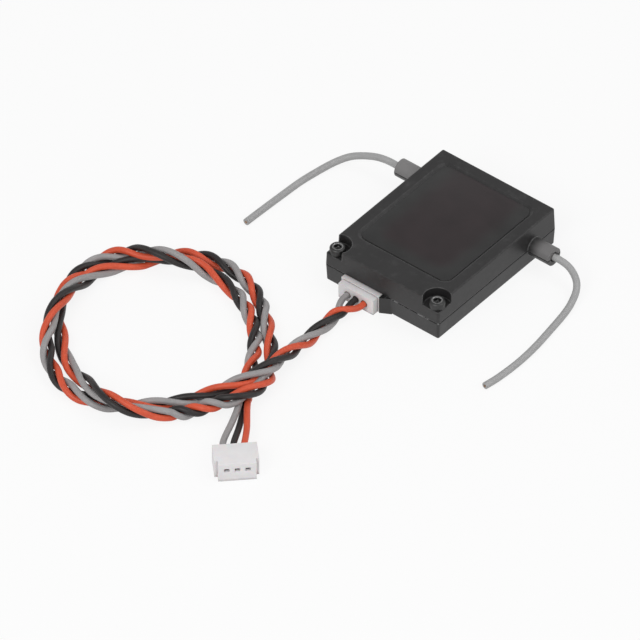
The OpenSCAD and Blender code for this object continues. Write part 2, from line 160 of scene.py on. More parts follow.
# %% Antenna cables
COAX_D = 1.05 * MM
ANTENNA_STEP = 0.35 * MM
LEFT_STATIONS = [
    [-14.9, 9.4, 2.9], [-17, 9.4, 2.9], [-19, 9.3, 2.6], [-21, 8.8, 2.1], [-22.8, 8, 1.5],
    [-24.1, 6.6, 0.9], [-24.9, 4.5, 0.6], [-25.4, 2, 0.5], [-25.7, -0.5, 0.5], [-25.9, -4.2, 0.5],
    [-26.1, -8.5, 0.5], [-26.2, -11.4, 0.5],
]
RIGHT_STATIONS = [
    [14, 8.2, 2.9], [15.2, 8.2, 2.9], [16.6, 8.1, 2.7], [17.9, 7.7, 2.3], [19, 7, 1.8],
    [19.8, 5.9, 1.3], [20.4, 4.3, 0.9], [20.9, 2.2, 0.6], [21.5, -1.7, 0.5], [22.1, -6.3, 0.5],
    [22.3, -10.4, 0.5], [22.1, -14.4, 0.5], [21.7, -17.1, 0.5],
]
antenna_lines = {
    "left": smooth_line(LEFT_STATIONS, ANTENNA_STEP),
    "right": smooth_line(RIGHT_STATIONS, ANTENNA_STEP),
}
antennas = {}
for side, line in antenna_lines.items():
    line[:, 2] = np.maximum(line[:, 2], COAX_D / 2)
    antennas[side] = cable(f"antenna_{side}_cable", line, COAX_D)
    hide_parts(f"antenna_{side}")
    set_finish(antennas[side], "grey_jacket")
    print(side, "antenna:", round(distance_along(line)[-1] / MM, 1), "mm")

# %% [markdown]
# ## Building small parts with operators
#
# The helpers below keep each part short. One turns a finished mesh into an object at the
# origin, and two grow a round part upwards ring by ring, the way a turned part is drawn:
# each step extrudes the rim and scales it to a new radius.

# %% Helpers for turned parts
SMOOTH_BELOW = math.radians(35)


def finish_piece(name, mesh, slot, replaced=()):
    """Object at the origin from a bmesh, riding on the root body."""
    bmesh.ops.recalc_face_normals(mesh, faces=mesh.faces)
    for face in mesh.faces:
        face.smooth = True
    for edge in mesh.edges:
        edge.smooth = not edge.is_manifold or edge.calc_face_angle(0) < SMOOTH_BELOW
    data = bpy.data.meshes.new(name)
    mesh.to_mesh(data)
    mesh.free()
    made = bpy.data.objects.new(name, data)
    bpy.context.scene.collection.objects.link(made)
    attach(made, "root")
    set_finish(made, slot)
    if replaced:
        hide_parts(*replaced)
    print(name, "has", len(data.polygons), "faces")
    return made


def grow_ring(mesh, rim, radius, height, shape=None):
    """Extrudes an open rim to a new radius and height; shape bends the ring by angle."""
    grown = bmesh.ops.extrude_edge_only(mesh, edges=rim)["geom"]
    for vert in (g for g in grown if isinstance(g, bmesh.types.BMVert)):
        angle = math.atan2(vert.co.y, vert.co.x)
        reach = radius * (shape(angle) if shape else 1)
        vert.co = (reach * math.cos(angle), reach * math.sin(angle), height)
    return [g for g in grown if isinstance(g, bmesh.types.BMEdge)]


def turned_part(rings, sides):
    """Closed round part from (radius, height, shape) rings, bottom first."""
    mesh = bmesh.new()
    radius, height, _ = rings[0]
    bmesh.ops.create_circle(mesh, cap_ends=True, radius=radius, segments=sides)
    bmesh.ops.translate(mesh, verts=mesh.verts, vec=(0, 0, height))
    rim = list(mesh.edges)
    for radius, height, shape in rings[1:]:
        rim = grow_ring(mesh, rim, radius, height, shape)
    bmesh.ops.edgeloop_fill(mesh, edges=rim)
    return mesh


# %% [markdown]
# ## The cut ends of the antennas
#
# Where the cable was cut, the thin inner conductor shows as a small dark spot in the
# middle of the grey jacket. It is a short turned pin with a burred, rounded end that
# stands a hair proud of the cut.

# %% Cores at the cut ends
CORE_D = 0.4 * MM
CORE_PROUD = 0.1 * MM
CORE_SUNK = 0.5 * MM
CORE_SIDES = 20


def core_tip(name, line):
    """Rounded pin that sticks out of the end of a line."""
    half = CORE_D / 2
    mesh = turned_part([
        (half, -CORE_SUNK, None), (half, CORE_PROUD * 0.4, None),
        (half * 0.85, CORE_PROUD * 0.8, None), (half * 0.5, CORE_PROUD, None),
    ], CORE_SIDES)
    heading = Vector(line[-1] - line[-2])
    turn = heading.to_track_quat("Z", "Y").to_matrix().to_4x4()
    place_at_end = Matrix.Translation(Vector(line[-1])) @ turn
    bmesh.ops.transform(mesh, verts=mesh.verts, matrix=place_at_end)
    return finish_piece(name, mesh, "copper_core")


cores = {side: core_tip(f"antenna_{side}_core", line) for side, line in antenna_lines.items()}

# %% [markdown]
# ## The twisted lead
#
# The lead is three insulated wires, grey, black and orange, twisted together like a rope.
# Each wire is a helix round the lead's own line, a third of a turn apart. At both ends the
# twist opens into a flat fan, because the wires enter the plug side by side, 1.5 mm apart.
# A real hand-twisted lead is uneven, so each wire swings slightly in and out, and a few
# marks say how many turns have been made at some distances: the lay is 9 to 16 mm.

# %% Route of the lead
LEAD_STATIONS = [
    [-3.3, -15, 1.25], [-3.3, -18, 1.25], [-3.3, -21.9, 1.15], [-3.2, -25.8, 1.35],
    [-2.9, -29.8, 2.2], [-2.4, -34.8, 3.2], [-3.1, -38.9, 3.2], [-5, -42, 2.4], [-7.6, -45, 1.2],
    [-10.5, -48.8, 1], [-14.3, -52.4, 1], [-18.2, -54.5, 1], [-22.7, -54.8, 1], [-27, -53.2, 1.1],
    [-30.5, -50.5, 1.6], [-32.4, -47.8, 2.6], [-33.7, -44.7, 3.1], [-34.8, -40.5, 2.7],
    [-35.3, -35.9, 1.6], [-34.5, -31.6, 1], [-29.7, -24.5, 1], [-26.5, -21.9, 1],
    [-22.5, -20.9, 1], [-17.9, -21.5, 1], [-13.4, -23.8, 1], [-6.1, -30.4, 1], [-3.4, -33.9, 1.3],
    [-1.4, -37.8, 2.4], [-1.8, -42, 3], [-3.9, -45.1, 2.3], [-6.6, -48, 1.3], [-9.5, -51.2, 1.4],
    [-11.9, -53.6, 2.5], [-14.7, -54.5, 3.1], [-18.6, -54.1, 2.7], [-23.1, -52.3, 1.6],
    [-27.5, -49.9, 1], [-34.5, -43.1, 1], [-36.6, -38.7, 1], [-37.3, -34.4, 1], [-36.3, -30, 1],
    [-33.5, -27.6, 1.9], [-30, -26.6, 3], [-26.8, -25.3, 2.7], [-23.6, -23.7, 1.4],
    [-19.2, -24, 1], [-14.6, -25.8, 1], [-10.8, -28.5, 1], [-7.8, -32.1, 1], [-5.3, -36.3, 1],
    [-3.3, -39.5, 1], [-1.3, -42.6, 1.1], [1, -46.3, 1.6], [2.9, -49.8, 1.95], [3.7, -50.6, 1.95],
]
STRAND_STEP = 0.35 * MM
lead_line = smooth_line(LEAD_STATIONS, STRAND_STEP)
print("lead:", round(distance_along(lead_line)[-1] / MM), "mm")

# %% Three wires round the line
WIRE_D = 0.95 * MM
TWIST_RADIUS = 0.56 * MM
TURNS_AT = {0: 0, 24: 1.8, 50: 3.85, 64: 5.1, 88: 6.7, 110: 8.8, 133: 10.5, 141: 11.75,
            178: 14, 192: 15.45, 208: 16.55, 232: 19}  # by millimetres along the lead
FAN_NEAR, FAN_FAR = 4 * MM, 11 * MM
FAN_STRAIGHT = 0.6 * MM
CONTACT_PITCH = 1.5 * MM
LOOSENESS = 0.08 * MM
SLOW_SWING, FAST_SWING = 13 * MM, 5.7 * MM
FAST_PHASE = 2.3
PHASE_STEP = 2.1


def ease(x):
    """Smooth step from 0 to 1."""
    x = np.clip(x, 0, 1)
    return x * x * (3 - 2 * x)


def twisted_wire(name, line, start_angle, seat, phase):
    """One wire of the lead: a fan, a helix that ends in a whole turn, and a fan again."""
    along = distance_along(line)
    left = along[-1] - along
    heading = np.gradient(line, axis=0)
    heading /= np.linalg.norm(heading, axis=1)[:, None]
    side = np.cross([0, 0, 1], heading)
    side /= np.linalg.norm(side, axis=1)[:, None]
    above = np.cross(heading, side)
    twisted = np.minimum(ease((along - FAN_STRAIGHT) / FAN_NEAR),
                         ease((left - FAN_STRAIGHT) / FAN_FAR))
    turns = np.interp(along / MM, list(TURNS_AT), list(TURNS_AT.values()))
    angle = start_angle + 2 * math.pi * turns
    swing = np.sin(along / SLOW_SWING + phase) + np.sin(along / FAST_SWING + FAST_PHASE * phase)
    radius = TWIST_RADIUS + LOOSENESS * (1 + swing / 2)
    across = twisted * radius * np.cos(angle) + (1 - twisted) * seat
    up = twisted * radius * np.sin(angle)
    strand = line + across[:, None] * side + up[:, None] * above
    strand[:, 2] = np.maximum(strand[:, 2], WIRE_D / 2)
    wire = cable(name, strand, WIRE_D)
    print(name, round(distance_along(strand)[-1] / MM), "mm")
    return wire, strand


WIRES = {
    "orange": (math.radians(30), CONTACT_PITCH, "orange_wire"),
    "black": (math.radians(-90), 0.0, "black_wire"),
    "grey": (math.radians(150), -CONTACT_PITCH, "grey_jacket"),
}
wires, strands = {}, {}
for number, (tint, (start_angle, seat, slot)) in enumerate(WIRES.items()):
    wires[tint], strands[tint] = twisted_wire(
        f"lead_wire_{tint}", lead_line, start_angle, seat, number * PHASE_STEP)
    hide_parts("lead")
    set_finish(wires[tint], slot)

# %% [markdown]
# ## The two white plugs
#
# Both ends of the lead have the same small crimp plug, moulded in white nylon. The solid
# from the engineering model has the right form but knife-sharp edges. A copy is merged,
# its coplanar triangles are dissolved, and every sharp edge gets a fine round, because
# moulded nylon never has a sharp edge and the round is what catches the light.

# %% Softened copies of moulded parts
ROUND_ABOVE = math.radians(30)
FLAT_BELOW = math.radians(1)
MERGE_DISTANCE = 1e-6
ROUND_SEGMENTS = 3


def softened_copy(node, name, slot, edge_round, change=None):
    """Copy of a CAD node with its sharp edges rounded; change may reshape it first."""
    source = bpy.data.objects[node]
    mesh = bmesh.new()
    mesh.from_mesh(source.data)
    bmesh.ops.transform(mesh, verts=mesh.verts, matrix=source.matrix_world)
    bmesh.ops.remove_doubles(mesh, verts=mesh.verts, dist=MERGE_DISTANCE)
    bmesh.ops.dissolve_limit(mesh, verts=mesh.verts, edges=mesh.edges,
                             angle_limit=FLAT_BELOW, use_dissolve_boundaries=False)
    if change:
        change(mesh)
    sharp = [e for e in mesh.edges if e.is_manifold and e.calc_face_angle(0) > ROUND_ABOVE]
    bmesh.ops.bevel(mesh, geom=sharp, offset=edge_round, offset_type="OFFSET", affect="EDGES",
                    segments=ROUND_SEGMENTS, profile=0.5, material=-1, clamp_overlap=True)
    return finish_piece(name, mesh, slot, [node])


PLUG_ROUND = 0.1 * MM
receiver_plug = softened_copy("receiver_plug", "receiver_plug_housing", "white_nylon", PLUG_ROUND)
far_plug = softened_copy("far_plug", "far_plug_housing", "white_nylon", PLUG_ROUND)

# %% [markdown]
# ## The bare label
#
# A label is cut to fill its recess. The solid film stops a little short of the slope all
# round, to keep the two solids apart, and that gap would draw a hard dark line. A copy has
# its rim moved out to the foot of the slope, and its upper edge is pressed soft.

# %% Label film
FILM_SHORT = 0.14 * MM
FILM_ROUND = 0.04 * MM


def reach_the_slope(mesh):
    """Moves every corner of the film outwards by the same distance on both axes."""
    middle_y = sum(v.co.y for v in mesh.verts) / len(mesh.verts)
    for vert in mesh.verts:
        vert.co.x += math.copysign(FILM_SHORT, vert.co.x)
        vert.co.y += math.copysign(FILM_SHORT, vert.co.y - middle_y)


label = softened_copy("blank_label", "bare_label_film", "label_film", FILM_ROUND, reach_the_slope)

# %% [markdown]
# ## The socket screws
#
# Two black cap screws close the case. A cap screw is turned, so it grows ring by ring: the
# shank, the flat under the head, the side with a rounded chamfer, and then the rim turns
# inwards and down into a six-lobed socket. The lobes come from a ring whose radius swells
# and shrinks six times round, which forging a socket does in the real one.

# %% Screws
SCREW_X, SCREW_Y = 9 * MM, -12 * MM
LEDGE_Z = 4.9 * MM
SCREW_SIDES = 72
HEAD_R, HEAD_H = 1.175 * MM, 1.1 * MM
SHANK_R, SHANK_L = 0.7 * MM, 3.9 * MM
SOCKET_R, SOCKET_DEEP = 0.62 * MM, 0.65 * MM
LOBES, LOBE_DEPTH = 6, 0.13


def lobed(angle):
    """Share of the socket's radius at an angle."""
    return 1 - LOBE_DEPTH * (1 - math.cos(LOBES * angle)) / 2


def socket_screw(name, x):
    """Cap screw standing on the ledge of its pocket."""
    top = HEAD_H
    mesh = turned_part([
        (SHANK_R - 0.15 * MM, -SHANK_L, None), (SHANK_R, -SHANK_L + 0.2 * MM, None),
        (SHANK_R, -0.02 * MM, None), (SHANK_R, 0, None), (HEAD_R - 0.06 * MM, 0, None),
        (HEAD_R, 0.05 * MM, None), (HEAD_R, top - 0.28 * MM, None),
        (HEAD_R - 0.04 * MM, top - 0.16 * MM, None), (HEAD_R - 0.12 * MM, top - 0.06 * MM, None),
        (HEAD_R - 0.22 * MM, top - 0.01 * MM, None), (HEAD_R - 0.28 * MM, top, None),
        (SOCKET_R + 0.16 * MM, top, None), (SOCKET_R + 0.08 * MM, top - 0.01 * MM, lobed),
        (SOCKET_R, top - 0.07 * MM, lobed), (SOCKET_R, top - SOCKET_DEEP, lobed),
        (SOCKET_R * 0.5, top - SOCKET_DEEP - 0.12 * MM, None),
    ], SCREW_SIDES)
    bmesh.ops.translate(mesh, verts=mesh.verts, vec=(x, SCREW_Y, LEDGE_Z))
    return finish_piece(name, mesh, "black_steel", ["case_screws"])


screws = [socket_screw("case_screw_left", -SCREW_X), socket_screw("case_screw_right", SCREW_X)]

# %% [markdown]
# ## Writing materials as sums
#
# A finish is mostly arithmetic on patterns, so one small class wraps a node's output and
# turns + - * into Math nodes. A second one holds a node tree: its single method adds any
# other node from its type, its settings and the values of its sockets. A recipe is such a
# tree that belongs to a new material.

# %% Wrapped sockets
class Layer:
    """A value that varies over a surface, and can be used in sums."""

    def __init__(self, recipe, socket):
        self.recipe, self.socket = recipe, socket

    def _sum(self, operation, first, second):
        return self.recipe.node("Math", {"operation": operation}, {0: first, 1: second})

    def __add__(self, other):
        return self._sum("ADD", self, other)

    def __radd__(self, other):
        return self._sum("ADD", other, self)

    def __sub__(self, other):
        return self._sum("SUBTRACT", self, other)

    def __rsub__(self, other):
        return self._sum("SUBTRACT", other, self)

    def __mul__(self, other):
        return self._sum("MULTIPLY", self, other)

    def __rmul__(self, other):
        return self._sum("MULTIPLY", other, self)


class Tree:
    """A node tree that is being filled."""

    def __init__(self, tree):
        self.tree = tree

    def node(self, kind, settings=None, inputs=None, output=0):
        """Adds a node; settings are set first, then sockets get values or links."""
        made = self.tree.nodes.new("ShaderNode" + kind)
        for key, value in (settings or {}).items():
            setattr(made, key, value)
        for key, value in (inputs or {}).items():
            if isinstance(value, Layer):
                self.tree.links.new(value.socket, made.inputs[key])
            else:
                made.inputs[key].default_value = value
        return Layer(self, made.outputs[output])


class Recipe(Tree):
    """One material while it is being mixed."""

    def __init__(self, name, **constants):
        self.material = bpy.data.materials.new(name)
        self.material.use_nodes = True
        super().__init__(self.material.node_tree)
        self.shader = self.tree.nodes["Principled BSDF"]
        for socket, value in constants.items():
            self.shader.inputs[socket.replace("_", " ")].default_value = value

    def feed(self, socket, layer):
        """Links a layer to a socket of the shader."""
        self.tree.links.new(layer.socket, self.shader.inputs[socket])


print("materials are written with", Layer.__name__, "and", Recipe.__name__)

# %% [markdown]
# ## Patterns that every finish shares
#
# Real surfaces are never even. Grain is fine noise, clouds are slow noise, and a band is
# a soft step between two values. All of them read Object coordinates, which are metres
# here, so a grain of 0.1 mm needs a scale of about 10,000. The Bevel node rounds the
# normal at edges, and how far it leans from the true normal shows where the edges are.

# %% Shared patterns
def place(recipe):
    """Object coordinates."""
    return recipe.node("TexCoord", output="Object")


def noise(recipe, where, size, detail=2.0, roughness=0.5):
    """Noise from 0 to 1 with features of about the given size."""
    return recipe.node("TexNoise", inputs={
        "Vector": where, "Scale": 1 / size, "Detail": detail, "Roughness": roughness})


def band(recipe, value, start, end, low=0.0, high=1.0):
    """Smooth step of a value from low at start to high at end."""
    return recipe.node("MapRange", {"interpolation_type": "SMOOTHSTEP"}, {
        "Value": value, "From Min": start, "From Max": end, "To Min": low, "To Max": high})


def axis_of(recipe, where, axis):
    """One coordinate, in metres."""
    return recipe.node("SeparateXYZ", inputs={"Vector": where}, output=axis)


def rounded_normal(recipe, radius, samples=6):
    """Normal that turns softly round every edge."""
    return recipe.node("Bevel", {"samples": samples}, {"Radius": radius})


def edge_mask(recipe, rounded, strength):
    """1 on the edges, 0 on flat faces."""
    true_normal = recipe.node("NewGeometry", output="Normal")
    flat = recipe.node("VectorMath", {"operation": "DOT_PRODUCT"},
                       {0: rounded, 1: true_normal}, "Value")
    return recipe.node("Math", {"operation": "MULTIPLY", "use_clamp": True},
                       {0: 1 - flat, 1: strength})


def blend_colours(recipe, share, first, second):
    """Colour between two colours or layers."""
    return recipe.node("Mix", {"data_type": "RGBA", "clamp_factor": True},
                       {0: share, 6: colour(first), 7: colour(second)}, 2)


def colour(value):
    """Four numbers from three; a layer stays as it is."""
    return value if isinstance(value, Layer) else (*value, 1.0)


def bump(recipe, height, distance, strength, normal=None):
    """Relief of the given depth, in metres."""
    inputs = {"Height": height, "Distance": distance, "Strength": strength}
    if normal is not None:
        inputs["Normal"] = normal
    return recipe.node("Bump", inputs=inputs)


def grey(level):
    """The same share of red, green and blue."""
    return (level, level, level)


# %% [markdown]
# ## Dark case plastic
#
# The two shells are moulded in charcoal plastic with a fine satin grain. The photo shows
# it darker on top, with faint cloudy marks from handling, and its rounded edges get a
# painted highlight, mottled by those marks. The upper halves of the spouts get a pale
# painted highlight, much paler than the solid case, the right one only towards its tip.
# The seam between the halves is a hairline of painted shade all round. Beside the plug
# the edge at the seam has a few pale painted glints.

# %% Case plastic
CASE_HALF_W = 10.3 * MM
FRONT_Y = -13.2 * MM
SEAM_Z = 2.9 * MM
SEAM_HALF = 0.1 * MM
PLUG_SIDE_X = 0.5 * MM


def case_finish():
    recipe = Recipe("case_plastic", Specular_IOR_Level=0.42)
    where = place(recipe)
    x, y, z = (axis_of(recipe, where, axis) for axis in "XYZ")
    from_seam = recipe.node("Math", {"operation": "ABSOLUTE"}, {0: z - SEAM_Z})
    grain = noise(recipe, where, 0.12 * MM, 3.0, 0.6)
    cloud = noise(recipe, where, 5 * MM, 4.0, 0.55)
    smudge = noise(recipe, where, 1.6 * MM, 5.0, 0.7)
    rounded = rounded_normal(recipe, 0.28 * MM, 8)
    edges = edge_mask(recipe, rounded, 5.0)
    # painted highlight: the upper halves of the spouts are coloured pale, the right one towards
    # its tip
    left_spout = band(recipe, x, -CASE_HALF_W, -CASE_HALF_W - 0.5 * MM)
    right_spout = band(recipe, x, CASE_HALF_W, CASE_HALF_W + 2.4 * MM, 0.0, 0.85)
    upper_half = band(recipe, z, SEAM_Z - 0.15 * MM, SEAM_Z + 0.05 * MM, 0.2, 1.0)
    spout_highlight = (left_spout + right_spout) * upper_half
    # painted shade: the seam gap is coloured almost black
    seam = band(recipe, from_seam, 0.4 * SEAM_HALF, SEAM_HALF, 1.0, 0.0)
    at_front = band(recipe, y, FRONT_Y, FRONT_Y + 0.3 * MM, 1.0, 0.0)
    beside_plug = at_front * band(recipe, x, PLUG_SIDE_X, PLUG_SIDE_X + 1 * MM)
    by_seam = band(recipe, from_seam, 0.8 * SEAM_HALF, 1.6 * SEAM_HALF, 1.0, 0.0)
    # painted highlight: a few pale glints on the edge at the seam beside the plug
    seam_glint = beside_plug * by_seam * band(recipe, smudge, 0.46, 0.56)
    body = blend_colours(recipe, cloud, (0.013, 0.0127, 0.013), (0.026, 0.0248, 0.0254))
    dusty = blend_colours(recipe, band(recipe, smudge, 0.5, 0.75) * 0.35, body, grey(0.07))
    # painted highlight: the rounded edges are coloured paler, mottled by the smudge noise
    rim_tone_and_highlight = edges * band(recipe, smudge, 0.35, 0.65, 0.2, 1.0)
    body_with_edge_highlight = blend_colours(recipe, rim_tone_and_highlight, dusty, grey(0.13))
    spout_highlight_tone = blend_colours(recipe, cloud, (0.165, 0.16, 0.16), (0.235, 0.23, 0.23))
    mixed = blend_colours(recipe, spout_highlight, body_with_edge_highlight, spout_highlight_tone)
    seam_shaded = blend_colours(recipe, seam * 0.9, mixed, grey(0.002))
    recipe.feed("Base Color", blend_colours(recipe, seam_glint * 0.55, seam_shaded, grey(0.3)))
    recipe.feed("Roughness", 0.24 + smudge * 0.3 + grain * 0.08 + spout_highlight * 0.1 + seam * 0.6)
    recipe.feed("Normal", bump(recipe, grain - seam * 2.0, 0.012 * MM, 0.45, rounded))
    return recipe.material


# %% [markdown]
# ## Bare label film
#
# The recess holds a thin dark film with a slightly warm, purplish black in its middle and
# the case's neutral tone at its rim. The real one is printed, and here it stays bare. A
# film shines more evenly than moulded plastic, and it shows slow waves where the glue
# under it isn't flat.

# %% Label film finish
SIDE_RIM = (5.5 * MM, 8.5 * MM)  # from the middle of the case, where the warm tone fades
FRONT_RIM = (-5.5 * MM, -8 * MM)


def label_finish():
    recipe = Recipe("label_film", Specular_IOR_Level=0.45)
    where = place(recipe)
    waves = noise(recipe, where, 3.5 * MM, 2.0, 0.4)
    dust = noise(recipe, where, 0.25 * MM, 5.0, 0.75)
    specks = band(recipe, dust, 0.68, 0.8)
    warm = blend_colours(recipe, waves, (0.0145, 0.0105, 0.0115), (0.027, 0.0175, 0.0195))
    rim_tone_and_highlight = blend_colours(recipe, waves, grey(0.014), grey(0.027))
    aside = recipe.node("Math", {"operation": "ABSOLUTE"}, {0: axis_of(recipe, where, "X")})
    side_rim = band(recipe, aside + waves * 2 * MM, *SIDE_RIM)
    rim = side_rim + band(recipe, axis_of(recipe, where, "Y"), *FRONT_RIM)
    base = blend_colours(recipe, rim, warm, rim_tone_and_highlight)
    recipe.feed("Base Color", blend_colours(recipe, specks * 0.25, base, grey(0.12)))
    recipe.feed("Roughness", 0.3 + waves * 0.2 + specks * 0.2)
    recipe.feed("Normal", bump(recipe, waves, 0.05 * MM, 0.25))
    return recipe.material


# %% [markdown]
# ## Black steel
#
# The screws have a black oxide skin. The chamfer edges and a ring round the socket get a
# painted highlight, pale steel broken up by fine scratches.

# %% Black steel
HIGHLIGHT_RING = (0.58 * MM, 0.86 * MM)  # radii of the ring of painted highlight round the socket


def screw_finish():
    recipe = Recipe("black_steel", Metallic=0.85)
    where = place(recipe)
    scratches = noise(recipe, where, 0.15 * MM, 4.0, 0.7)
    rounded = rounded_normal(recipe, 0.06 * MM)
    outward = recipe.node("Math", {"operation": "ABSOLUTE"}, {0: axis_of(recipe, where, "X")})
    across, along = outward - SCREW_X, axis_of(recipe, where, "Y") - SCREW_Y
    from_axis = recipe.node("Math", {"operation": "SQRT"}, {0: across * across + along * along})
    inner, outer = HIGHLIGHT_RING
    highlight_ring = (band(recipe, from_axis, inner, inner + 0.06 * MM)
            * band(recipe, from_axis, outer, outer - 0.14 * MM))
    # painted highlight: the ring and the edges are coloured pale steel
    rim_tone_and_highlight = (highlight_ring * 0.6 + edge_mask(recipe, rounded, 9.0)) * band(recipe, scratches, 0.3, 0.6)
    recipe.feed("Base Color", blend_colours(recipe, rim_tone_and_highlight, grey(0.06), grey(0.55)))
    recipe.feed("Roughness", 0.32 - rim_tone_and_highlight * 0.1 + scratches * 0.12)
    recipe.feed("Normal", bump(recipe, scratches, 0.008 * MM, 0.3, rounded))
    return recipe.material


# %% [markdown]
# ## White nylon
#
# The plugs and the header are natural white nylon. Light goes a little way into it, which
# softens its shadows, so it has a small subsurface weight. Its surface has faint flow
# marks from the mould and a trace of grey along the edges, and the narrow gaps between
# plug and header get painted shade from an ambient occlusion measure.

# %% White nylon
def nylon_finish():
    recipe = Recipe("white_nylon", Subsurface_Weight=0.12, Subsurface_Scale=0.3 * MM,
                    Specular_IOR_Level=0.45)
    where = place(recipe)
    flow = noise(recipe, where, 1.6 * MM, 3.0, 0.5)
    grain = noise(recipe, where, 0.1 * MM, 2.0, 0.5)
    rounded = rounded_normal(recipe, 0.08 * MM)
    edges = edge_mask(recipe, rounded, 3.0)
    base = blend_colours(recipe, flow, (0.72, 0.7, 0.71), (0.8, 0.785, 0.79))
    marked = blend_colours(recipe, edges * 0.25, base, (0.6, 0.58, 0.6))
    # painted shade: occluded crevices, such as the gaps between plug and header, are coloured
    # darker
    exposed = recipe.node("AmbientOcclusion", {"samples": 8}, {"Distance": 0.5 * MM}, "AO")
    recipe.feed("Base Color", blend_colours(recipe, exposed, (0.32, 0.28, 0.28), marked))
    recipe.feed("Roughness", 0.4 + flow * 0.15)
    recipe.feed("Normal", bump(recipe, grain, 0.006 * MM, 0.4, rounded))
    return recipe.material


# %% [markdown]
# ## Wire insulation
#
# The three wires and the two antennas share one recipe in different colours: soft satin
# insulation, with slow changes of tone, a few dull patches from fingers, and fine lines
# from the extruding die. The colours differ, so the recipe takes two tones.

# %% Wire insulation
def insulation_finish(name, dark, light, dull):
    recipe = Recipe(name, Specular_IOR_Level=0.4)
    where = place(recipe)
    tone = noise(recipe, where, 2.2 * MM, 3.0, 0.55)
    smear = noise(recipe, where, 0.5 * MM, 4.0, 0.65)
    patches = band(recipe, smear, 0.52, 0.7)
    base = blend_colours(recipe, tone, dark, light)
    recipe.feed("Base Color", blend_colours(recipe, patches * 0.3, base, dull))
    recipe.feed("Roughness", 0.4 + tone * 0.12 + patches * 0.12)
    recipe.feed("Normal", bump(recipe, smear, 0.01 * MM, 0.3))
    return recipe.material


# %% [markdown]
# ## Metals of the contacts
#
# The header's pins are square drawn wire plated a pale gold. The crimped contacts sit deep
# in the plugs, so they get painted shade: dark, dull colours. The legs and the crystal's can
# are tinned. Drawn and rolled metal has fine lines, and plating collects faint brown where it
# ages.

# %% Plated and tinned metal
def metal_finish(name, clean, aged, rough):
    recipe = Recipe(name, Metallic=1.0)
    where = place(recipe)
    drawn = recipe.node("Mapping", inputs={"Vector": where, "Scale": (1.0, 8.0, 1.0)})
    lines = noise(recipe, drawn, 0.2 * MM, 3.0, 0.6)
    tarnish = band(recipe, noise(recipe, where, 0.8 * MM, 4.0, 0.6), 0.45, 0.75)
    rounded = rounded_normal(recipe, 0.04 * MM)
    recipe.feed("Base Color", blend_colours(recipe, tarnish * 0.6, clean, aged))
    recipe.feed("Roughness", rough + lines * 0.1 + tarnish * 0.15)
    recipe.feed("Normal", bump(recipe, lines, 0.006 * MM, 0.35, rounded))
    return recipe.material


# %% [markdown]
# ## Circuit board and its parts
#
# These are closed in by the two shells, but the model can be opened, so each has its own
# finish. The board has a green mask with copper traces showing through as paler bands.
# The chips are matt moulding compound, and the capacitors are fired ceramic.

# %% Board and small parts
def board_finish():
    recipe = Recipe("board_green", Coat_Weight=0.4, Coat_Roughness=0.15)
    where = place(recipe)
    traces = recipe.node("TexVoronoi", {"distance": "MANHATTAN", "feature": "F1"},
                         {"Vector": where, "Scale": 1 / (1.3 * MM)}, "Distance")
    ridges = band(recipe, traces, 0.3, 0.36) * band(recipe, traces, 0.5, 0.44)
    mask_green, trace_green = (0.006, 0.07, 0.022), (0.02, 0.15, 0.05)
    recipe.feed("Base Color", blend_colours(recipe, ridges, mask_green, trace_green))
    recipe.feed("Roughness", 0.35 + ridges * 0.08)
    recipe.feed("Normal", bump(recipe, ridges, 0.02 * MM, 0.5))
    return recipe.material


def part_finish(name, dark, light, rough, size):
    """Matt or glazed body of a small part."""
    recipe = Recipe(name)
    where = place(recipe)
    speckle = noise(recipe, where, size, 4.0, 0.7)
    rounded = rounded_normal(recipe, 0.05 * MM)
    edges = edge_mask(recipe, rounded, 4.0)
    base = blend_colours(recipe, speckle, dark, light)
    recipe.feed("Base Color", blend_colours(recipe, edges * 0.4, base, light))
    recipe.feed("Roughness", rough + speckle * 0.2)
    recipe.feed("Normal", bump(recipe, speckle, 0.008 * MM, 0.4, rounded))
    return recipe.material


# %% All finishes
finishes = {
    "case_plastic": case_finish(),
    "label_film": label_finish(),
    "black_steel": screw_finish(),
    "white_nylon": nylon_finish(),
    "board_green": board_finish(),
}
INSULATIONS = {
    # name: dark tone, light tone and dull tone
    "grey_jacket": ((0.25, 0.24, 0.24), (0.37, 0.355, 0.355), grey(0.43)),
    "antenna_jacket": (grey(0.31), grey(0.4), grey(0.46)),
    "orange_wire": ((0.5, 0.06, 0.024), (0.76, 0.11, 0.045), (0.78, 0.17, 0.09)),
    "black_wire": ((0.0135, 0.011, 0.011), (0.024, 0.02, 0.02), grey(0.05)),
}
METALS = {
    # name: clean colour, aged colour and roughness
    "gold_plate": ((0.75, 0.58, 0.28), (0.42, 0.28, 0.12), 0.25),
    # painted shade: both colours are dark for the shade deep inside the plugs
    "aged_contact": ((0.08, 0.062, 0.05), (0.03, 0.024, 0.02), 0.45),
    "tinned_metal": (grey(0.62), (0.4, 0.38, 0.35), 0.3),
    "copper_core": ((0.32, 0.2, 0.13), (0.12, 0.08, 0.06), 0.4),
}
SMALL_PARTS = {
    # name: dark tone, light tone, roughness and size of the speckle
    "chip_black": (grey(0.012), grey(0.028), 0.5, 0.12 * MM),
    "lamp_white": ((0.66, 0.63, 0.45), (0.8, 0.78, 0.66), 0.2, 0.4 * MM),
    "ceramic_tan": ((0.3, 0.19, 0.09), (0.45, 0.32, 0.18), 0.4, 0.2 * MM),
    "resistor_black": (grey(0.01), grey(0.03), 0.3, 0.2 * MM),
    "coil_dark": ((0.03, 0.045, 0.07), (0.06, 0.08, 0.12), 0.35, 0.15 * MM),
}
for make, recipes in ((insulation_finish, INSULATIONS), (metal_finish, METALS),
                      (part_finish, SMALL_PARTS)):
    for name, tones in recipes.items():
        finishes[name] = make(name, *tones)
print(len(finishes), "finishes")

# %% [markdown]
# ## Giving each piece its finish
#
# A node of the engineering model keeps its mesh and only gets a better material in its own
# slots. A new piece gets the finish whose slot it names, and the two antennas a slightly
# paler grey than the grey wire.

